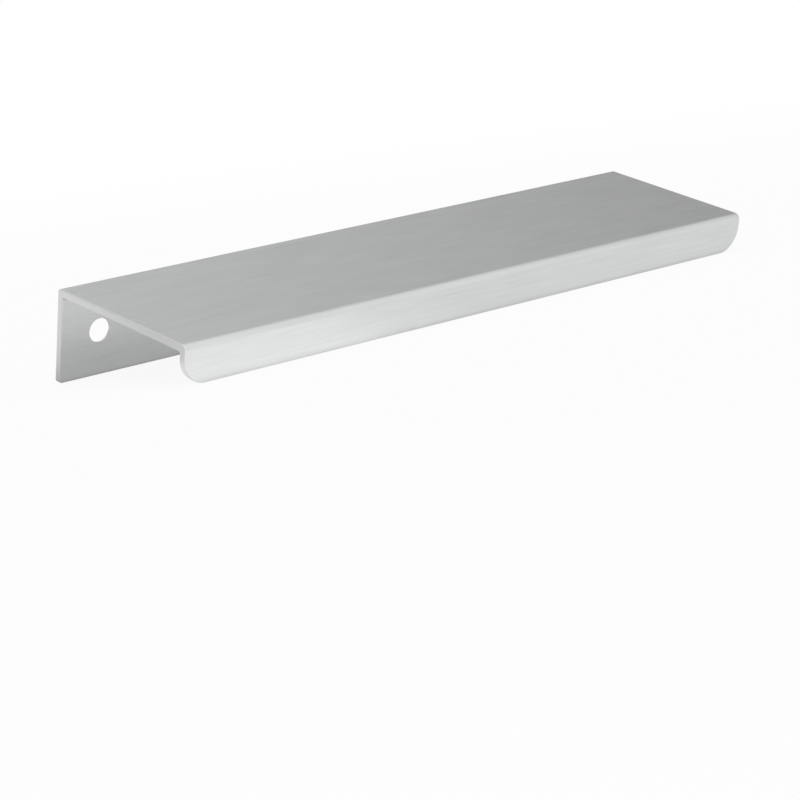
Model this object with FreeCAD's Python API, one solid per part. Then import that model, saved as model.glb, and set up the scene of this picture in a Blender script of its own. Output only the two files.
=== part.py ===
"""Edge pull for a drawer or door: one piece of aluminium, bent at both long edges.

The pull is drawn with its plate level, then turned to the attitude that it takes on a floor,
where the flange's and the lip's lower edges both touch. +X runs along the pull, +Y from the lip
back to the flange and +Z up. The origin is the middle of the finished part's box, at its base.
Lengths are in millimetres.
"""

import FreeCAD, Part
import math
import os

# Section of the pull
LENGTH = 145.0
PLATE_DEPTH = 35.0
FLANGE_HEIGHT = 17.5
LIP_HEIGHT = 7.5
WALL = 1.4

# Bends, each at the outer and the inner side of the wall
BACK_BEND_OUTER_R = 0.6
BACK_BEND_INNER_R = 0.5
FRONT_BEND_OUTER_R = 1.2
FRONT_BEND_INNER_R = 0.5

# Rounded corners of the lip and of the flange
LIP_CORNER_R = 5.0
FLANGE_CORNER_R = 0.5

# Two screw holes in the flange, countersunk from the back, each set in from its end of the pull.
# At this length the inset puts them 128 mm apart.
HOLE_INSET = 8.5
HOLE_DROP = 9.0
HOLE_D = 4.5
COUNTERSINK_D = 6.7
COUNTERSINK_ANGLE = 90.0

# Edge break along every cut edge
EDGE_BREAK_R = 0.15

# Lengths closer than this count as equal
SAME = 1e-4
# Tools reach this far past the faces they cut
OVERCUT = 1.0

X = FreeCAD.Vector(1, 0, 0)
Y = FreeCAD.Vector(0, 1, 0)


def section_point(y, z):
    """A point of the section in the plane of the pull's low-X end."""
    return FreeCAD.Vector(-LENGTH / 2, y, z)


def bend_arc(y, z, radius, start_deg, end_deg):
    """A bend's arc about its own centre, with angles measured from +Y towards +Z."""
    points = []
    for angle in (start_deg, (start_deg + end_deg) / 2, end_deg):
        a = math.radians(angle)
        points.append(section_point(y + radius * math.cos(a), z + radius * math.sin(a)))
    return Part.Arc(*points)


def section_face():
    """The bent section: flange at +Y, plate at the top, lip at -Y."""
    back = PLATE_DEPTH / 2
    front = -PLATE_DEPTH / 2
    back_in = back - WALL
    front_in = front + WALL

    outer_back = bend_arc(back - BACK_BEND_OUTER_R, -BACK_BEND_OUTER_R, BACK_BEND_OUTER_R, 0, 90)
    outer_front = bend_arc(front + FRONT_BEND_OUTER_R, -FRONT_BEND_OUTER_R, FRONT_BEND_OUTER_R, 90, 180)
    inner_front = bend_arc(
        front_in + FRONT_BEND_INNER_R, -WALL - FRONT_BEND_INNER_R, FRONT_BEND_INNER_R, 180, 90
    )
    inner_back = bend_arc(
        back_in - BACK_BEND_INNER_R, -WALL - BACK_BEND_INNER_R, BACK_BEND_INNER_R, 90, 0
    )
    flange_foot_out = section_point(back, -FLANGE_HEIGHT)
    flange_foot_in = section_point(back_in, -FLANGE_HEIGHT)
    lip_foot_out = section_point(front, -LIP_HEIGHT)
    lip_foot_in = section_point(front_in, -LIP_HEIGHT)

    outline = [
        Part.LineSegment(flange_foot_out, outer_back.StartPoint),
        outer_back,
        Part.LineSegment(outer_back.EndPoint, outer_front.StartPoint),
        outer_front,
        Part.LineSegment(outer_front.EndPoint, lip_foot_out),
        Part.LineSegment(lip_foot_out, lip_foot_in),
        Part.LineSegment(lip_foot_in, inner_front.StartPoint),
        inner_front,
        Part.LineSegment(inner_front.EndPoint, inner_back.StartPoint),
        inner_back,
        Part.LineSegment(inner_back.EndPoint, flange_foot_in),
        Part.LineSegment(flange_foot_in, flange_foot_out),
    ]
    return Part.Face(Part.Wire([curve.toShape() for curve in outline]))


def corner_edges(blank, foot_z):
    """The two edges that run through the wall at the lower corners of the flange or the lip."""
    found = []
    for edge in blank.Edges:
        box = edge.BoundBox
        at_end = abs(abs(box.XMin) - LENGTH / 2) < SAME and box.XLength < SAME
        at_foot = abs(box.ZMin - foot_z) < SAME and box.ZLength < SAME
        if at_end and at_foot:
            found.append(edge)
    return found


def round_corners(blank):
    """The lip's large rounded corners and the flange's small ones."""
    blank = blank.makeFillet(LIP_CORNER_R, corner_edges(blank, -LIP_HEIGHT))
    return blank.makeFillet(FLANGE_CORNER_R, corner_edges(blank, -FLANGE_HEIGHT))


def is_cut_edge(edge, solid):
    """True for an edge where two faces meet at an angle, false where they run on smoothly."""
    faces = solid.ancestorsOfType(edge, Part.Face)
    if len(faces) != 2:
        return False
    at = edge.valueAt((edge.FirstParameter + edge.LastParameter) / 2)
    normals = [face.normalAt(*face.Surface.parameter(at)) for face in faces]
    return normals[0].getAngle(normals[1]) > math.radians(10)


def break_edges(blank):
    """A small round along every cut edge, so that the pull has no sharp rim."""
    edges = [edge for edge in blank.Edges if is_cut_edge(edge, blank)]
    return blank.makeFillet(EDGE_BREAK_R, edges)


def screw_hole(x):
    """Cutter for one screw hole: a bore through the flange and a countersink at its back face."""
    bore_r = HOLE_D / 2
    head_r = COUNTERSINK_D / 2
    slope = math.tan(math.radians(COUNTERSINK_ANGLE / 2))
    back = PLATE_DEPTH / 2
    bore_start = FreeCAD.Vector(x, back - WALL - OVERCUT, -HOLE_DROP)
    bore = Part.makeCylinder(bore_r, WALL + 2 * OVERCUT, bore_start, Y)
    cone_start = FreeCAD.Vector(x, back - (head_r - bore_r) / slope, -HOLE_DROP)
    cone_length = (head_r - bore_r) / slope + OVERCUT
    cone = Part.makeCone(bore_r, head_r + OVERCUT * slope, cone_length, cone_start, Y)
    return bore.fuse(cone)


def rest_tilt():
    """The angle that the plate leans forward when the pull stands on its flange and its lip.

    The pull stands on the rounded inner edge of the flange's foot and the rounded outer edge of
    the lip's foot. Both rounds have one radius, so the lean is that of the line between them.
    """
    run = PLATE_DEPTH - WALL
    fall = FLANGE_HEIGHT - LIP_HEIGHT
    return math.degrees(math.atan2(fall, run))


def set_down(solid):
    """Turn the pull to rest on a floor, with the middle of its box's base at the origin."""
    solid.rotate(FreeCAD.Vector(), X, rest_tilt())
    box = solid.optimalBoundingBox(False)
    solid.translate(FreeCAD.Vector(-box.Center.x, -box.Center.y, -box.ZMin))
    return solid


def edge_pull():
    blank = section_face().extrude(X * LENGTH)
    blank = break_edges(round_corners(blank))
    for side in (-1, 1):
        blank = blank.cut(screw_hole(side * (LENGTH / 2 - HOLE_INSET)))
    return set_down(blank)


def main():
    pull = edge_pull()
    if not pull.isValid() or len(pull.Solids) != 1:
        raise ValueError("the pull is not one valid solid")
    box = pull.BoundBox
    print(f"size {box.XLength:.3f} x {box.YLength:.3f} x {box.ZLength:.3f} mm")
    print(f"volume {pull.Volume:.1f} mm3, lean {rest_tilt():.4f} degrees")
    os.makedirs("parts", exist_ok=True)
    pull.Solids[0].exportStep("parts/edge_pull.step")


main()
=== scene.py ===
"""Looks of the edge pull: an aluminium plate with a flange and a lip, on a pale studio floor.

The pull is drawn level, with the middle of its plate's top face at the origin, +X along the pull
and +Y from the lip back to the flange. It is then leaned forward until it stands on its flange and
its lip, where the frame has it. Lengths are in metres.
"""

import math

import bpy
from bpy.props import FloatProperty, FloatVectorProperty, IntProperty, PointerProperty
from mathutils import Matrix, Vector


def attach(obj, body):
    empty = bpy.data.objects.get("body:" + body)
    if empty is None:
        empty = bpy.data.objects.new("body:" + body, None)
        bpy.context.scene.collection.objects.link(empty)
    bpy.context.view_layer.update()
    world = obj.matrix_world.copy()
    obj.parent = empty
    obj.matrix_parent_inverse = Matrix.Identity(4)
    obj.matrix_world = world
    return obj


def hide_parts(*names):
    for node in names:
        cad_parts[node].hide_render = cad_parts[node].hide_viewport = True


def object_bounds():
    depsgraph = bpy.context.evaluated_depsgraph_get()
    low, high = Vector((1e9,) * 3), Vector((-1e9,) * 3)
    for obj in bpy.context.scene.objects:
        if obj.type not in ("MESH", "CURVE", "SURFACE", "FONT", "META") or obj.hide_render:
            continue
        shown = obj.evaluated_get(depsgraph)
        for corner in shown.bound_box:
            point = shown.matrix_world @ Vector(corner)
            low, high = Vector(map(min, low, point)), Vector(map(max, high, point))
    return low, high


bl_info = {
    "name": "Edge pull",
    "version": (1, 0, 0),
    "blender": (4, 5, 0),
    "location": "View3D > Sidebar > Edge Pull",
    "description": "Builds a brushed aluminium edge pull and the studio that it is shown in",
    "category": "Add Mesh",
}

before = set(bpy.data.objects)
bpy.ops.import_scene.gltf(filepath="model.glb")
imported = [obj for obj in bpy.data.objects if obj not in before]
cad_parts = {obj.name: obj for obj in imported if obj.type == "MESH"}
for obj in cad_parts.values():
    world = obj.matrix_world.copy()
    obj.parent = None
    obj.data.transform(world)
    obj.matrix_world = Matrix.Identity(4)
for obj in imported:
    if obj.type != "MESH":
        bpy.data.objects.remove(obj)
CAD_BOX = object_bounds()

NODE = "edge_pull"
BODY = "root"
MM = 0.001
# The finished piece may miss the frame's box by no more than this
FIT = 0.02 * MM
# Points of the frame's pull that are no higher than this stand on the floor
ON_FLOOR = 0.02 * MM
# Cutters reach this far past the faces they cut
OVERCUT = 1.0 * MM
# Points that cutting leaves closer than this are merged
MERGE = 0.004 * MM
# Faces that meet at a wider angle than this have a cut edge between them
CUT_ANGLE = math.radians(20)
# Edges this far from a hole's middle belong to it, as a share of its countersink's diameter
HOLE_REACH = 0.55
# Where the cut finish stands among the pull's materials: after an empty slot and the brushed one
CUT_SLOT = 2
# Width of the camera's sensor, in the millimetres that its lens is given in
SENSOR_WIDTH = 36.0
GRAIN_MAP = "grain"
CUT_MARK = "is_cut"
WHITE = (1.0, 1.0, 1.0, 1.0)


def length_property(name, description, default):
    return FloatProperty(name=name, description=description, default=default, min=0.0, unit="LENGTH")


def angle_property(name, description, degrees):
    return FloatProperty(
        name=name, description=description, default=math.radians(degrees), subtype="ANGLE"
    )


def spot_property(name, description, default):
    return FloatVectorProperty(
        name=name, description=description, default=default, subtype="TRANSLATION", unit="LENGTH"
    )


def span_property(name, description, default):
    """Two places or distances, between which something changes."""
    return FloatVectorProperty(name=name, description=description, default=default, size=2, unit="LENGTH")


def level_property(name, description, default):
    return FloatProperty(
        name=name, description=description, default=default, min=0.0, soft_max=2.0, subtype="FACTOR"
    )


def share_property(name, description, default):
    return FloatProperty(
        name=name, description=description, default=default, min=0.0, max=1.0, subtype="FACTOR"
    )


def colour_property(name, description, default):
    return FloatVectorProperty(
        name=name, description=description, default=default, min=0.0, max=1.0, subtype="COLOR"
    )


class PullSizes(bpy.types.PropertyGroup):
    """The pull's section, its corners, its mounting holes and how finely its curves are divided."""

    length: length_property("Length", "Length along the pull", CAD_BOX[1][0] - CAD_BOX[0][0])
    plate_depth: length_property("Plate depth", "Over the flange and the lip", 35.0 * MM)
    flange_height: length_property("Flange height", "From the plate's top face down", 17.5 * MM)
    lip_height: length_property("Lip height", "From the plate's top face down", 7.5 * MM)
    wall: length_property("Wall", "Thickness of plate, flange and lip", 1.4 * MM)
    back_outer_r: length_property("Back outer radius", "Outside, plate to flange", 0.6 * MM)
    back_inner_r: length_property("Back inner radius", "Inside, plate to flange", 0.5 * MM)
    front_outer_r: length_property("Front outer radius", "Outside, plate to lip", 1.2 * MM)
    front_inner_r: length_property("Front inner radius", "Inside, plate to lip", 0.5 * MM)
    lip_corner_r: length_property("Lip corner radius", "The lip's two lower corners", 5.0 * MM)
    flange_corner_r: length_property("Flange corner radius", "The flange's two lower corners", 0.5 * MM)
    hole_inset: length_property("Hole inset", "From each end of the pull to its hole", 8.5 * MM)
    hole_drop: length_property("Hole drop", "From the plate's top face to the holes", 9.0 * MM)
    hole_d: length_property("Hole diameter", "Bore of the mounting holes", 4.5 * MM)
    countersink_d: length_property("Countersink diameter", "At the flange's back face", 6.7 * MM)
    edge_break: length_property("Edge break", "Width of the round on every cut edge", 0.15 * MM)
    hole_break: share_property("Hole edge break", "Share of the edge break left at the holes", 0.35)
    bend_steps: IntProperty(name="Bend steps", description="Facets in each bend", default=10, min=2)
    corner_steps: IntProperty(name="Corner steps", description="Facets in each corner", default=24, min=4)
    hole_steps: IntProperty(name="Hole steps", description="Facets round each hole", default=64, min=12)
    break_steps: IntProperty(name="Edge steps", description="Facets across each edge break", default=4, min=1)


class FinishSettings(bpy.types.PropertyGroup):
    """The brushed and the cut aluminium."""

    colour: colour_property("Colour", "Satin aluminium seen in white light", (0.824, 0.831, 0.834))
    cut_colour: colour_property("Cut colour", "Ends and holes seen in white light", (0.774, 0.777, 0.777))
    roughness: share_property("Roughness", "Of the brushed faces", 0.39)
    cut_roughness: share_property("Cut roughness", "Of the ends and the holes", 0.44)
    anisotropy: share_property("Anisotropy", "How much the brushing spreads a reflection", 0.54)
    streak_length: length_property("Streak length", "Of one brush mark along the pull", 14.0 * MM)
    streak_width: length_property("Streak width", "Of one brush mark across the pull", 0.50 * MM)
    streak_contrast: share_property("Streak contrast", "How much the brush marks change the tone", 0.09)
    cloud_contrast: share_property("Cloud contrast", "How much soft clouds change the tone", 0.03)
    saw_length: length_property("Saw mark length", "Of one saw mark on a cut face", 0.9 * MM)
    saw_width: length_property("Saw mark width", "Of one saw mark on a cut face", 0.08 * MM)
    saw_contrast: share_property("Saw contrast", "How much the saw marks change the tone", 0.04)
    roughness_swing: share_property("Roughness swing", "How much any mark changes the roughness", 0.05)
    relief: length_property("Relief", "Depth of any mark", 0.004 * MM)
    brush_relief: share_property("Brush relief", "How much of that depth the brush marks show", 0.15)
    saw_relief: share_property("Saw relief", "How much of that depth the saw marks show", 0.08)


class StageSettings(bpy.types.PropertyGroup):
    """The floor, the light and the camera. Azimuths turn from -Y towards +X."""

    floor_colour: colour_property("Floor colour", "The studio's pale floor", (0.94, 0.94, 0.94))
    floor_size: length_property("Floor size", "Side of the square floor", 16.0)
    floor_white: share_property("Floor white", "How far the camera sees the floor by the pull as white", 0.90)
    shadow_reach: length_property("Shadow reach", "Where the floor starts to turn to white", 120.0 * MM)
    white_reach: length_property("White reach", "Where the floor has turned to white", 600.0 * MM)
    mirrored_white: share_property("Mirrored white", "How far a reflection sees the floor as white", 0.96)
    # Painted light on the floor as a reflection sees it: brighter at the left, falling towards +X
    painted_light_left: share_property("Mirrored left", "The floor's level in a reflection, at the left", 1.0)
    painted_light_right: share_property("Mirrored right", "The floor's level in a reflection, at the right", 0.79)
    painted_light_fall: span_property("Mirrored fall", "Between which X that level falls", (-40.0 * MM, 2.0 * MM))
    # Painted shadow on the floor as a reflection sees it, by the flange's foot and where either foot stands
    painted_flange_shade: share_property("Flange shade", "How much the flange dims the mirrored floor", 0.52)
    flange_fade: span_property("Flange fade", "How far from its foot that fades", (8.0 * MM, 24.0 * MM))
    painted_contact_shade: share_property("Contact shade", "How much a foot dims the mirrored floor", 0.25)
    contact_fade: span_property("Contact fade", "How far from the foot that fades", (0.0, 1.3 * MM))

    dome: level_property("Dome", "Level of the studio's dome", 0.655)
    brightest: level_property("Brightest", "The highest level that the dome reaches", 0.95)
    foot_full: angle_property("Foot full", "Up to where the dome's foot is all white", 1.25)
    foot_gone: angle_property("Foot gone", "Where the dome's white foot has faded out", 10.0)
    glow: level_property("Glow", "What the bright side adds to the dome", 0.69)
    glow_azimuth: angle_property("Glow azimuth", "Middle of the bright side", 3.0)
    glow_elevation: angle_property("Glow elevation", "Middle of the bright side", 36.6)
    glow_spread: angle_property("Glow spread", "How wide the bright side is", 90.0)
    shade: level_property("Shade", "What the right-hand dim side takes from the dome", 1.385)
    left_shade: level_property("Left shade", "What the left-hand dim side takes", 0.9)
    shade_azimuth: angle_property("Shade azimuth", "Middle of each dim side", 98.8)
    shade_elevation: angle_property("Shade elevation", "Middle of each dim side", -8.2)
    shade_spread: angle_property("Shade spread", "How wide each dim side is", 48.7)
    key_spot: spot_property("Key spot", "Where the key lamp hangs", (-0.15, -0.05, 0.36))
    key_size: length_property("Key size", "Side of the key lamp", 0.3)
    key_power: FloatProperty(name="Key power", description="Of the key lamp", default=0.06, unit="POWER")

    azimuth: angle_property("Azimuth", "The camera's turn about Z", -42.234)
    elevation: angle_property("Elevation", "The camera's height above the floor", 8.697)
    roll: angle_property("Roll", "The camera's turn about its own axis", -7.386)
    distance: length_property("Distance", "From the camera to the aim", 546.71 * MM)
    aim: spot_property("Aim", "The middle of the picture", (-6.965 * MM, 1.329 * MM, -15.675 * MM))
    lens: FloatProperty(
        name="Lens", description="The camera's focal length", default=129.76, unit="CAMERA"
    )


# Nodes


def feed(tree, socket, value):
    """Joins socket to value where value is another node's output, or else sets it."""
    if isinstance(value, bpy.types.NodeSocket):
        tree.links.new(value, socket)
    else:
        socket.default_value = value


def add_node(tree, kind, inputs=None, **settings):
    """A new node, with inputs named by name or number."""
    node = tree.nodes.new(kind)
    for name, value in settings.items():
        setattr(node, name, value)
    for name, value in (inputs or {}).items():
        feed(tree, node.inputs[name], value)
    return node


def calc(tree, operation, *values):
    """What a Math node works out from values."""
    node = add_node(tree, "ShaderNodeMath", dict(enumerate(values)), operation=operation)
    return node.outputs[0]


def place(tree, x=0.0, y=0.0, z=0.0):
    """A vector made of three numbers."""
    return add_node(tree, "ShaderNodeCombineXYZ", {0: x, 1: y, 2: z}).outputs[0]


def add_input(tree, name, kind, unit="NONE"):
    socket = tree.interface.new_socket(name, in_out="INPUT", socket_type=kind)
    if kind == "NodeSocketFloat":
        socket.subtype = unit
    return socket


# The pull's solid, as a Geometry Nodes tree


def outline(tree, corners, steps):
    """A closed curve in the XY plane through corners, each an x, a y and a radius.

    Each round has as many facets as steps says.
    """
    index = add_node(tree, "GeometryNodeInputIndex").outputs[0]
    places = add_node(tree, "GeometryNodeIndexSwitch", {"Index": index}, data_type="VECTOR")
    radii = add_node(tree, "GeometryNodeIndexSwitch", {"Index": index}, data_type="FLOAT")
    for switch in (places, radii):
        while len(switch.index_switch_items) < len(corners):
            switch.index_switch_items.new()
    for item, (x, y, radius) in enumerate(corners, start=1):
        feed(tree, places.inputs[item], place(tree, x, y))
        feed(tree, radii.inputs[item], radius)
    points = add_node(
        tree, "GeometryNodePoints", {"Count": len(corners), "Position": places.outputs[0]}
    )
    line = add_node(tree, "GeometryNodePointsToCurves", {"Points": points.outputs[0]})
    loop = add_node(tree, "GeometryNodeSetSplineCyclic", {"Geometry": line.outputs[0], "Cyclic": True})
    rounded = add_node(
        tree, "GeometryNodeFilletCurve",
        {"Curve": loop.outputs[0], "Count": steps, "Radius": radii.outputs[0]}, mode="POLY",
    )
    return rounded.outputs[0]


def prism(tree, curve, height, turn):
    """The closed solid that curve makes when it is drawn out along Z, half each way, and turned."""
    half = calc(tree, "MULTIPLY", height, 0.5)
    start = place(tree, z=calc(tree, "MULTIPLY", half, -1.0))
    end = place(tree, z=half)
    path = add_node(tree, "GeometryNodeCurvePrimitiveLine", {"Start": start, "End": end})
    solid = add_node(
        tree, "GeometryNodeCurveToMesh",
        {"Curve": path.outputs[0], "Profile Curve": curve, "Fill Caps": True},
    )
    return moved(tree, solid.outputs[0], turn)


def moved(tree, geometry, turn=(0.0, 0.0, 0.0), shift=(0.0, 0.0, 0.0)):
    node = add_node(
        tree, "GeometryNodeTransform",
        {"Geometry": geometry, "Rotation": turn, "Translation": shift},
    )
    return node.outputs[0]


def section(tree, size):
    """The pull's section, with the depth as x and the height as y."""
    back = calc(tree, "MULTIPLY", size["Plate depth"], 0.5)
    front = calc(tree, "MULTIPLY", back, -1.0)
    back_in = calc(tree, "SUBTRACT", back, size["Wall"])
    front_in = calc(tree, "ADD", front, size["Wall"])
    under = calc(tree, "MULTIPLY", size["Wall"], -1.0)
    flange_foot = calc(tree, "MULTIPLY", size["Flange height"], -1.0)
    lip_foot = calc(tree, "MULTIPLY", size["Lip height"], -1.0)
    corners = [
        (back, flange_foot, 0.0),
        (back, 0.0, size["Back outer radius"]),
        (front, 0.0, size["Front outer radius"]),
        (front, lip_foot, 0.0),
        (front_in, lip_foot, 0.0),
        (front_in, under, size["Front inner radius"]),
        (back_in, under, size["Back inner radius"]),
        (back_in, flange_foot, 0.0),
    ]
    return outline(tree, corners, size["Bend steps"])


def corner_cutters(tree, size, height, radius, wall_y):
    """Cutters that round the two lower corners of the wall at wall_y."""
    end = calc(tree, "MULTIPLY", size["Length"], -0.5)
    foot = calc(tree, "MULTIPLY", height, -1.0)
    past_end = calc(tree, "SUBTRACT", end, OVERCUT)
    past_foot = calc(tree, "SUBTRACT", foot, OVERCUT)
    inward = calc(tree, "ADD", end, radius)
    above = calc(tree, "ADD", foot, radius)
    corners = [
        (past_end, past_foot, 0.0),
        (inward, past_foot, 0.0),
        (inward, foot, 0.0),
        (end, foot, radius),
        (end, above, 0.0),
        (past_end, above, 0.0),
    ]
    depth = calc(tree, "ADD", size["Wall"], 2 * OVERCUT)
    upright = (math.radians(90), 0.0, 0.0)
    cutter = prism(tree, outline(tree, corners, size["Corner steps"]), depth, upright)
    shift = place(tree, y=wall_y)
    return [moved(tree, cutter, shift=shift), moved(tree, cutter, (0.0, 0.0, math.pi), shift)]


def hole_cutters(tree, size):
    """A bore and a countersink at each mounting hole."""
    back = calc(tree, "MULTIPLY", size["Plate depth"], 0.5)
    bore_r = calc(tree, "MULTIPLY", size["Hole diameter"], 0.5)
    head_r = calc(tree, "MULTIPLY", size["Countersink diameter"], 0.5)
    sink = calc(tree, "SUBTRACT", head_r, bore_r)
    through = calc(tree, "ADD", size["Wall"], 2 * OVERCUT)
    bore = add_node(
        tree, "GeometryNodeMeshCylinder",
        {"Vertices": size["Hole steps"], "Radius": bore_r, "Depth": through},
    ).outputs[0]
    cone = add_node(
        tree, "GeometryNodeMeshCone",
        {
            "Vertices": size["Hole steps"], "Radius Bottom": bore_r,
            "Radius Top": calc(tree, "ADD", head_r, OVERCUT), "Depth": calc(tree, "ADD", sink, OVERCUT),
        },
    ).outputs[0]
    facing_back = (math.radians(-90), 0.0, 0.0)
    z = calc(tree, "MULTIPLY", size["Hole drop"], -1.0)
    wall_middle = calc(tree, "SUBTRACT", back, calc(tree, "MULTIPLY", size["Wall"], 0.5))
    cone_foot = calc(tree, "SUBTRACT", back, sink)
    half = calc(tree, "MULTIPLY", size["Length"], 0.5)
    found = []
    for side in (-1.0, 1.0):
        x = calc(tree, "MULTIPLY", calc(tree, "SUBTRACT", half, size["Hole inset"]), side)
        found.append(moved(tree, bore, facing_back, place(tree, x, wall_middle, z)))
        found.append(moved(tree, cone, facing_back, place(tree, x, cone_foot, z)))
    return found


def mark_cut(tree, solid, is_cut):
    """Says which faces are cut ones, so that they get the cut finish."""
    node = add_node(
        tree, "GeometryNodeStoreNamedAttribute", {"Geometry": solid, "Name": CUT_MARK},
        data_type="BOOLEAN", domain="FACE",
    )
    feed(tree, node.inputs["Value"], is_cut)
    return node.outputs[0]


def mark_ends(tree, blank):
    """Marks the blank's two sawn ends, which face along X, as cut faces."""
    normal = add_node(tree, "GeometryNodeInputNormal").outputs["Normal"]
    along = calc(tree, "ABSOLUTE", add_node(tree, "ShaderNodeSeparateXYZ", {0: normal}).outputs["X"])
    return mark_cut(tree, blank, calc(tree, "GREATER_THAN", along, 0.5))


def cut(tree, solid, cutters):
    """Takes cutters away from solid. The faces that they leave are cut faces."""
    node = add_node(
        tree, "GeometryNodeMeshBoolean", {"Mesh 1": solid}, operation="DIFFERENCE", solver="EXACT"
    )
    for cutter in cutters:
        tree.links.new(mark_cut(tree, cutter, True), node.inputs["Mesh 2"])
    return node.outputs["Mesh"]


def near_holes(tree, size):
    """True round the mounting holes, as far out as their countersinks reach."""
    position = add_node(tree, "GeometryNodeInputPosition").outputs[0]
    spot = add_node(tree, "ShaderNodeSeparateXYZ", {0: position}).outputs
    hole_x = calc(tree, "SUBTRACT", calc(tree, "MULTIPLY", size["Length"], 0.5), size["Hole inset"])
    along = calc(tree, "SUBTRACT", calc(tree, "ABSOLUTE", spot["X"]), hole_x)
    down = calc(tree, "ADD", spot["Z"], size["Hole drop"])
    squares = [calc(tree, "POWER", side, 2.0) for side in (along, down)]
    away = calc(tree, "SQRT", calc(tree, "ADD", *squares))
    return calc(tree, "LESS_THAN", away, calc(tree, "MULTIPLY", size["Countersink diameter"], HOLE_REACH))


def mark_breaks(tree, solid, size):
    """Says how wide each cut edge is broken, as a share of the edge break."""
    angle = add_node(tree, "GeometryNodeInputMeshEdgeAngle").outputs["Unsigned Angle"]
    is_cut = calc(tree, "GREATER_THAN", angle, CUT_ANGLE)
    less = calc(tree, "SUBTRACT", 1.0, size["Hole edge break"])
    share = calc(tree, "SUBTRACT", 1.0, calc(tree, "MULTIPLY", near_holes(tree, size), less))
    node = add_node(
        tree, "GeometryNodeStoreNamedAttribute",
        {"Geometry": solid, "Name": "bevel_weight_edge", "Value": calc(tree, "MULTIPLY", is_cut, share)},
        data_type="FLOAT", domain="EDGE",
    )
    return node.outputs[0]


LENGTH_INPUTS = {
    "Length": "length",
    "Plate depth": "plate_depth",
    "Flange height": "flange_height",
    "Lip height": "lip_height",
    "Wall": "wall",
    "Back outer radius": "back_outer_r",
    "Back inner radius": "back_inner_r",
    "Front outer radius": "front_outer_r",
    "Front inner radius": "front_inner_r",
    "Lip corner radius": "lip_corner_r",
    "Flange corner radius": "flange_corner_r",
    "Hole inset": "hole_inset",
    "Hole drop": "hole_drop",
    "Hole diameter": "hole_d",
    "Countersink diameter": "countersink_d",
}
SHARE_INPUTS = {"Hole edge break": "hole_break"}
COUNT_INPUTS = {"Bend steps": "bend_steps", "Corner steps": "corner_steps", "Hole steps": "hole_steps"}


def pull_tree():
    """The Geometry Nodes tree that makes the level pull from its sizes."""
    tree = bpy.data.node_groups.new("edge_pull_solid", "GeometryNodeTree")
    tree.interface.new_socket("Geometry", in_out="OUTPUT", socket_type="NodeSocketGeometry")
    for name in LENGTH_INPUTS:
        add_input(tree, name, "NodeSocketFloat", "DISTANCE")
    for name in SHARE_INPUTS:
        add_input(tree, name, "NodeSocketFloat", "FACTOR")
    for name in COUNT_INPUTS:
        add_input(tree, name, "NodeSocketInt")
    add_input(tree, "Brushed", "NodeSocketMaterial")
    add_input(tree, "Cut", "NodeSocketMaterial")
    size = tree.nodes.new("NodeGroupInput").outputs

    sideways = (math.radians(90), 0.0, math.radians(90))
    blank = mark_ends(tree, prism(tree, section(tree, size), size["Length"], sideways))
    wall_y = calc(tree, "MULTIPLY", calc(tree, "SUBTRACT", size["Plate depth"], size["Wall"]), 0.5)
    lip_y = calc(tree, "MULTIPLY", wall_y, -1.0)
    corners = corner_cutters(tree, size, size["Lip height"], size["Lip corner radius"], lip_y)
    corners += corner_cutters(tree, size, size["Flange height"], size["Flange corner radius"], wall_y)
    solid = cut(tree, cut(tree, blank, corners), hole_cutters(tree, size))
    merged = add_node(tree, "GeometryNodeMergeByDistance", {"Geometry": solid, "Distance": MERGE})
    solid = mark_breaks(tree, merged.outputs[0], size)
    smooth = add_node(tree, "GeometryNodeSetShadeSmooth", {"Geometry": solid, "Shade Smooth": True})
    real = add_node(tree, "GeometryNodeRealizeInstances", {"Geometry": smooth.outputs[0]})
    brushed = add_node(
        tree, "GeometryNodeSetMaterial", {"Geometry": real.outputs[0], "Material": size["Brushed"]}
    )
    is_cut = add_node(
        tree, "GeometryNodeInputNamedAttribute", {"Name": CUT_MARK}, data_type="BOOLEAN"
    ).outputs["Attribute"]
    finished = add_node(
        tree, "GeometryNodeSetMaterial",
        {"Geometry": brushed.outputs[0], "Selection": is_cut, "Material": size["Cut"]},
    )
    add_node(tree, "NodeGroupOutput", {"Geometry": finished.outputs[0]})
    return tree


def set_inputs(modifier, sizes, materials):
    """Gives the tree's inputs their values, each by its socket's identifier."""
    named = {item.name: item.identifier for item in modifier.node_group.interface.items_tree}
    for inputs in (LENGTH_INPUTS, SHARE_INPUTS, COUNT_INPUTS):
        for name, attribute in inputs.items():
            modifier[named[name]] = getattr(sizes, attribute)
    for name, material in materials.items():
        modifier[named[name]] = material


def add_modifier(obj, kind, **settings):
    modifier = obj.modifiers.new(kind.title(), kind)
    for name, value in settings.items():
        setattr(modifier, name, value)


def baked(obj):
    """Replaces obj's mesh with what its modifiers make of it, and removes them."""
    graph = bpy.context.evaluated_depsgraph_get()
    mesh = bpy.data.meshes.new_from_object(
        obj.evaluated_get(graph), preserve_all_data_layers=True, depsgraph=graph
    )
    mesh.name = obj.name
    obj.modifiers.clear()
    obj.data = mesh
    # Cutting leaves an empty first slot
    if mesh.materials[0] is None:
        mesh.materials.pop(index=0)


def lay_grain_map(mesh):
    """Maps the level pull so that U runs across the brushing, round its bends, and V along it."""
    uv = mesh.uv_layers.new(name=GRAIN_MAP)
    for loop in mesh.loops:
        x, y, z = mesh.vertices[loop.vertex_index].co
        uv.uv[loop.index].vector = (z + y if y < 0.0 else z - y, x)


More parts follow.
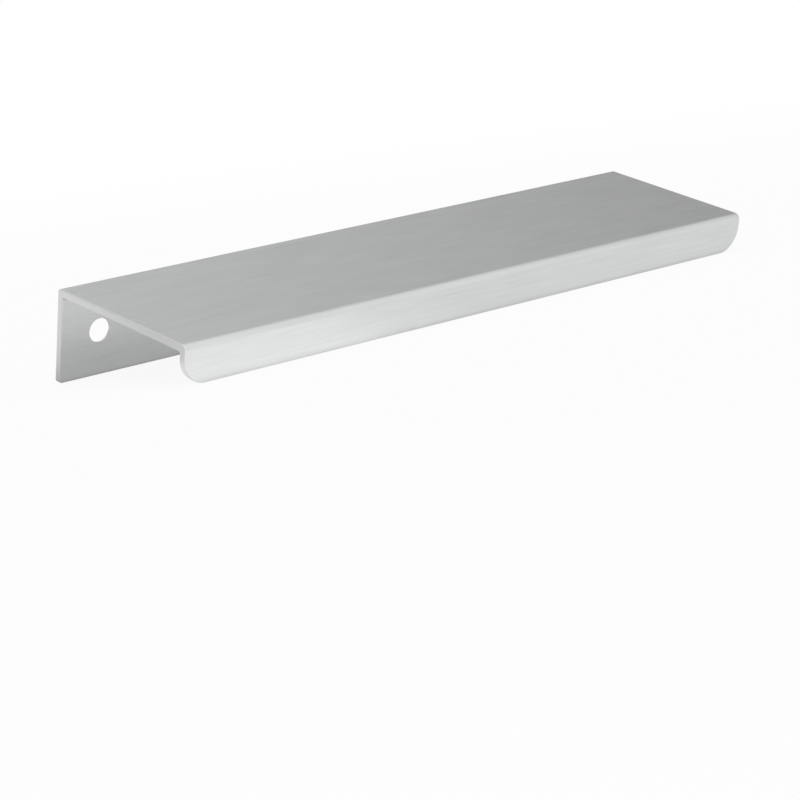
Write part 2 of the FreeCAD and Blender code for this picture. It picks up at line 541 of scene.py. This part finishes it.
def stand(mesh, sizes):
    """Leans the level mesh forward and sets it down where the frame has the pull."""
    run = sizes.plate_depth - sizes.wall
    fall = sizes.flange_height - sizes.lip_height
    mesh.transform(Matrix.Rotation(math.atan2(fall, run), 4, "X"))
    low, high = corners_of(mesh)
    cad_low, cad_high = (Vector(corner) for corner in CAD_BOX)
    shift = (cad_low + cad_high - low - high) / 2
    shift.z = cad_low.z - low.z
    mesh.transform(Matrix.Translation(shift))
    for corner, cad_corner in zip(corners_of(mesh), (cad_low, cad_high)):
        if max(abs(a - b) for a, b in zip(corner, cad_corner)) > FIT:
            raise ValueError(f"the pull's corner {tuple(corner)} misses the frame's {tuple(cad_corner)}")


def corners_of(mesh):
    """The lowest and the highest corner of a mesh's box."""
    spots = [vertex.co for vertex in mesh.vertices]
    low = Vector(min(spot[axis] for spot in spots) for axis in range(3))
    high = Vector(max(spot[axis] for spot in spots) for axis in range(3))
    return low, high


# Materials


def new_material(name):
    material = bpy.data.materials.new(name)
    material.use_nodes = True
    material.node_tree.nodes.clear()
    return material, material.node_tree


def spot_on_piece(tree):
    return add_node(tree, "ShaderNodeTexCoord").outputs["Object"]


def noise(tree, cell, detail, roughness):
    """Noise from 0 to 1 whose cells are cell metres long, wide and high."""
    scale = tuple(1.0 / side for side in cell)
    mapped = add_node(tree, "ShaderNodeMapping", {"Vector": spot_on_piece(tree), "Scale": scale})
    node = add_node(
        tree, "ShaderNodeTexNoise",
        {"Vector": mapped.outputs[0], "Scale": 1.0, "Detail": detail, "Roughness": roughness},
    )
    return node.outputs["Fac"]


def around(tree, factor, middle, swing):
    """Factor, from 0 to 1, mapped to run from middle - swing to middle + swing."""
    node = add_node(
        tree, "ShaderNodeMapRange",
        {"Value": factor, "To Min": middle - swing, "To Max": middle + swing},
    )
    return node.outputs["Result"]


def relief(tree, height, strength, depth):
    """The normal of a surface with marks whose height, from 0 to 1, is depth metres."""
    node = add_node(
        tree, "ShaderNodeBump", {"Height": height, "Strength": strength, "Distance": depth}
    )
    return node.outputs["Normal"]


def tinted(tree, colour, factor):
    """Colour made darker or lighter by factor."""
    node = add_node(
        tree, "ShaderNodeVectorMath", {0: tuple(colour), "Scale": factor}, operation="SCALE"
    )
    return node.outputs[0]


def brush_marks(tree, finish, along, across, detail, roughness):
    """Noise drawn out along X, in cells that are so many brush marks long and wide."""
    width = across * finish.streak_width
    return noise(tree, (along * finish.streak_length, width, width), detail, roughness)


def brushed_material(finish):
    """Satin aluminium, brushed along X."""
    material, tree = new_material("brushed_aluminium")
    streaks = brush_marks(tree, finish, along=1.0, across=1.0, detail=4.0, roughness=0.6)
    fine = brush_marks(tree, finish, along=0.4, across=0.3, detail=3.0, roughness=0.6)
    clouds = brush_marks(tree, finish, along=0.7, across=6.0, detail=1.0, roughness=0.5)
    tone = calc(
        tree, "MULTIPLY", around(tree, streaks, 1.0, finish.streak_contrast),
        around(tree, clouds, 1.0, finish.cloud_contrast),
    )
    tangent = add_node(tree, "ShaderNodeTangent", direction_type="UV_MAP", uv_map=GRAIN_MAP)
    shader = add_node(
        tree, "ShaderNodeBsdfPrincipled",
        {
            "Base Color": tinted(tree, finish.colour, tone),
            "Metallic": 1.0,
            "Roughness": around(tree, streaks, finish.roughness, finish.roughness_swing),
            "Anisotropic": finish.anisotropy,
            "Tangent": tangent.outputs[0],
            "Normal": relief(tree, calc(tree, "ADD", streaks, fine), finish.brush_relief, finish.relief),
        },
    )
    add_node(tree, "ShaderNodeOutputMaterial", {"Surface": shader.outputs[0]})
    return material


def cut_material(finish):
    """Aluminium with the fine, even finish of a sawn end."""
    material, tree = new_material("cut_aluminium")
    marks = noise(tree, (finish.saw_width, finish.saw_length, finish.saw_width), detail=3.0, roughness=0.6)
    shader = add_node(
        tree, "ShaderNodeBsdfPrincipled",
        {
            "Base Color": tinted(tree, finish.cut_colour, around(tree, marks, 1.0, finish.saw_contrast)),
            "Metallic": 1.0,
            "Roughness": around(tree, marks, finish.cut_roughness, finish.roughness_swing),
            "Normal": relief(tree, marks, finish.saw_relief, finish.relief),
        },
    )
    add_node(tree, "ShaderNodeOutputMaterial", {"Surface": shader.outputs[0]})
    return material


def eased(tree, value, start, end, at_start, at_end):
    """Value mapped from start..end to at_start..at_end, with a soft start and end."""
    node = add_node(
        tree, "ShaderNodeMapRange",
        {"Value": value, "From Min": start, "From Max": end, "To Min": at_start, "To Max": at_end},
        interpolation_type="SMOOTHSTEP",
    )
    return node.outputs["Result"]


def feet():
    """Y of the two lines along X on which the pull stands: its lip's foot, then its flange's."""
    spots = [vertex.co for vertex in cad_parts[NODE].data.vertices]
    standing = [spot.y for spot in spots if spot.z < CAD_BOX[0][2] + ON_FLOOR]
    return min(standing), max(standing)


def painted_mirrored_shade(tree, stage):
    """The floor's level in a reflection, as painted light and shade: a painted light that is brighter at the
    left and lower towards +X, and a painted shadow by the pull's two feet.
    """
    spot = add_node(tree, "ShaderNodeSeparateXYZ", {0: spot_on_piece(tree)}).outputs
    # Painted light: the floor's white in a reflection falls from the left towards +X
    level = eased(tree, spot["X"], *stage.painted_light_fall, stage.painted_light_left, stage.painted_light_right)
    lip_y, flange_y = feet()
    # Painted shadow: the floor's white is dimmed by the flange's foot and by each foot's contact
    for foot_y, shade, fade in (
        (flange_y, stage.painted_flange_shade, stage.flange_fade),
        (flange_y, stage.painted_contact_shade, stage.contact_fade),
        (lip_y, stage.painted_contact_shade, stage.contact_fade),
    ):
        away = calc(tree, "ABSOLUTE", calc(tree, "SUBTRACT", spot["Y"], foot_y))
        level = calc(tree, "MULTIPLY", level, eased(tree, away, *fade, 1.0 - shade, 1.0))
    return level


def floor_material(stage):
    """A pale floor that keeps the pull's shadow, whitened where the camera or a reflection sees it, with
    painted light and shade in what a reflection sees.
    """
    material, tree = new_material("studio_floor")
    path = add_node(tree, "ShaderNodeLightPath").outputs
    away = add_node(tree, "ShaderNodeVectorMath", {0: spot_on_piece(tree)}, operation="LENGTH")
    whitened = eased(
        tree, away.outputs["Value"], stage.shadow_reach, stage.white_reach, stage.floor_white, 1.0
    )
    reflected = calc(tree, "MAXIMUM", path["Is Glossy Ray"], path["Is Transmission Ray"])
    share = calc(
        tree, "MAXIMUM", calc(tree, "MULTIPLY", path["Is Camera Ray"], whitened),
        calc(tree, "MULTIPLY", reflected, stage.mirrored_white),
    )
    level = calc(tree, "MAXIMUM", path["Is Camera Ray"], painted_mirrored_shade(tree, stage))
    pale = add_node(tree, "ShaderNodeBsdfDiffuse", {"Color": (*stage.floor_colour, 1.0)})
    white = add_node(tree, "ShaderNodeEmission", {"Color": WHITE, "Strength": level})
    mix = add_node(tree, "ShaderNodeMixShader", {0: share, 1: pale.outputs[0], 2: white.outputs[0]})
    add_node(tree, "ShaderNodeOutputMaterial", {"Surface": mix.outputs[0]})
    return material


# Stage


def lay_floor(stage):
    half = stage.floor_size / 2
    corners = [(-half, -half, 0.0), (half, -half, 0.0), (half, half, 0.0), (-half, half, 0.0)]
    mesh = bpy.data.meshes.new("floor")
    mesh.from_pydata(corners, [], [(0, 1, 2, 3)])
    mesh.materials.append(floor_material(stage))
    floor = bpy.data.objects.new("floor", mesh)
    bpy.context.collection.objects.link(floor)


def side_of_dome(tree, direction, azimuth, elevation, spread):
    """1 in the middle of one side of the dome, falling off softly to 0 round it."""
    flat = math.cos(elevation)
    middle = (flat * math.sin(azimuth), -flat * math.cos(azimuth), math.sin(elevation))
    facing = add_node(tree, "ShaderNodeVectorMath", {0: direction, 1: middle}, operation="DOT_PRODUCT")
    angle = calc(tree, "ARCCOSINE", calc(tree, "MINIMUM", facing.outputs["Value"], 1.0))
    away = calc(tree, "POWER", calc(tree, "DIVIDE", angle, spread), 2.0)
    return calc(tree, "EXPONENT", calc(tree, "MULTIPLY", away, -1.0))


def light_world(stage):
    """A studio dome with a white foot, a bright front and a dim side off each end of the pull."""
    world = bpy.data.worlds.new("studio")
    world.use_nodes = True
    tree = world.node_tree
    tree.nodes.clear()
    direction = add_node(tree, "ShaderNodeTexCoord").outputs["Generated"]
    bright = side_of_dome(tree, direction, stage.glow_azimuth, stage.glow_elevation, stage.glow_spread)
    level = calc(tree, "ADD", stage.dome, calc(tree, "MULTIPLY", bright, stage.glow))
    dim_sides = ((stage.shade_azimuth, stage.shade), (-stage.shade_azimuth, stage.left_shade))
    for azimuth, shade in dim_sides:
        dim = side_of_dome(tree, direction, azimuth, stage.shade_elevation, stage.shade_spread)
        level = calc(tree, "SUBTRACT", level, calc(tree, "MULTIPLY", dim, shade))
    level = calc(tree, "MINIMUM", calc(tree, "MAXIMUM", level, 0.0), stage.brightest)
    height = add_node(tree, "ShaderNodeSeparateXYZ", {0: direction}).outputs["Z"]
    foot = eased(tree, height, math.sin(stage.foot_full), math.sin(stage.foot_gone), 1.0, 0.0)
    mixed = add_node(tree, "ShaderNodeMix", {0: foot, 2: level, 3: 1.0})
    background = add_node(tree, "ShaderNodeBackground", {"Color": WHITE, "Strength": mixed.outputs[0]})
    add_node(tree, "ShaderNodeOutputWorld", {"Surface": background.outputs[0]})
    bpy.context.scene.world = world


def hang_lamp(name, spot, size, power):
    """A square soft lamp at spot that faces the pull."""
    data = bpy.data.lights.new(name, "AREA")
    data.shape = "SQUARE"
    data.size = size
    data.energy = power
    lamp = bpy.data.objects.new(name, data)
    to_lamp = Vector(spot) - (Vector(CAD_BOX[0]) + Vector(CAD_BOX[1])) / 2
    lamp.matrix_world = Matrix.Translation(spot) @ to_lamp.to_track_quat("Z", "Y").to_matrix().to_4x4()
    bpy.context.collection.objects.link(lamp)


def set_camera(stage):
    data = bpy.data.cameras.new("camera")
    data.sensor_width = SENSOR_WIDTH
    data.lens = stage.lens
    camera = bpy.data.objects.new("camera", data)
    turn = Matrix.Rotation(stage.azimuth, 4, "Z") @ Matrix.Rotation(math.pi / 2 - stage.elevation, 4, "X")
    turn = turn @ Matrix.Rotation(stage.roll, 4, "Z")
    back = turn.to_3x3() @ Vector((0.0, 0.0, 1.0))
    camera.matrix_world = Matrix.Translation(Vector(stage.aim) + back * stage.distance) @ turn
    bpy.context.collection.objects.link(camera)
    bpy.context.scene.camera = camera


# Operators


class EDGEPULL_OT_add_pull(bpy.types.Operator):
    """Builds the pull, gives it its finish and puts it in the frame node's place"""

    bl_idname = "edgepull.add_pull"
    bl_label = "Add pull"

    def execute(self, context):
        sizes = context.scene.edge_pull_sizes
        finish = context.scene.edge_pull_finish
        pull = bpy.data.objects.new("satin_edge_pull", bpy.data.meshes.new("satin_edge_pull"))
        context.collection.objects.link(pull)
        materials = {"Brushed": brushed_material(finish), "Cut": cut_material(finish)}
        solid = pull.modifiers.new("Solid", "NODES")
        solid.node_group = pull_tree()
        set_inputs(solid, sizes, materials)
        add_modifier(
            pull, "BEVEL", width=sizes.edge_break, segments=sizes.break_steps, limit_method="WEIGHT",
            use_clamp_overlap=False, material=CUT_SLOT,
        )
        add_modifier(pull, "WEIGHTED_NORMAL", weight=100)
        baked(pull)
        lay_grain_map(pull.data)
        stand(pull.data, sizes)
        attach(pull, BODY)
        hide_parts(NODE)
        return {"FINISHED"}


class EDGEPULL_OT_add_stage(bpy.types.Operator):
    """Lays the floor, lights the studio and sets the camera"""

    bl_idname = "edgepull.add_stage"
    bl_label = "Add stage"

    def execute(self, context):
        stage = context.scene.edge_pull_stage
        lay_floor(stage)
        light_world(stage)
        hang_lamp("key", stage.key_spot, stage.key_size, stage.key_power)
        set_camera(stage)
        context.scene.view_settings.view_transform = "Standard"
        return {"FINISHED"}


class EDGEPULL_PT_sidebar(bpy.types.Panel):
    """Lists the pull's operators and settings"""

    bl_label = "Edge Pull"
    bl_idname = "EDGEPULL_PT_sidebar"
    bl_space_type = "VIEW_3D"
    bl_region_type = "UI"
    bl_category = "Edge Pull"

    def draw(self, context):
        column = self.layout.column()
        for operator in OPERATORS:
            column.operator(operator.bl_idname)
        for name in SETTINGS:
            group = getattr(context.scene, name)
            box = column.box()
            for prop in group.bl_rna.properties:
                if prop.identifier not in ("name", "rna_type"):
                    box.prop(group, prop.identifier)


OPERATORS = (EDGEPULL_OT_add_pull, EDGEPULL_OT_add_stage)
SETTINGS = {
    "edge_pull_sizes": PullSizes,
    "edge_pull_finish": FinishSettings,
    "edge_pull_stage": StageSettings,
}
CLASSES = (*SETTINGS.values(), *OPERATORS, EDGEPULL_PT_sidebar)


def register():
    for cls in CLASSES:
        bpy.utils.register_class(cls)
    for name, group in SETTINGS.items():
        setattr(bpy.types.Scene, name, PointerProperty(type=group))


def unregister():
    for name in SETTINGS:
        delattr(bpy.types.Scene, name)
    for cls in reversed(CLASSES):
        bpy.utils.unregister_class(cls)


def main():
    register()
    bpy.ops.edgepull.add_pull()
    bpy.ops.edgepull.add_stage()


if __name__ == "__main__":
    main()
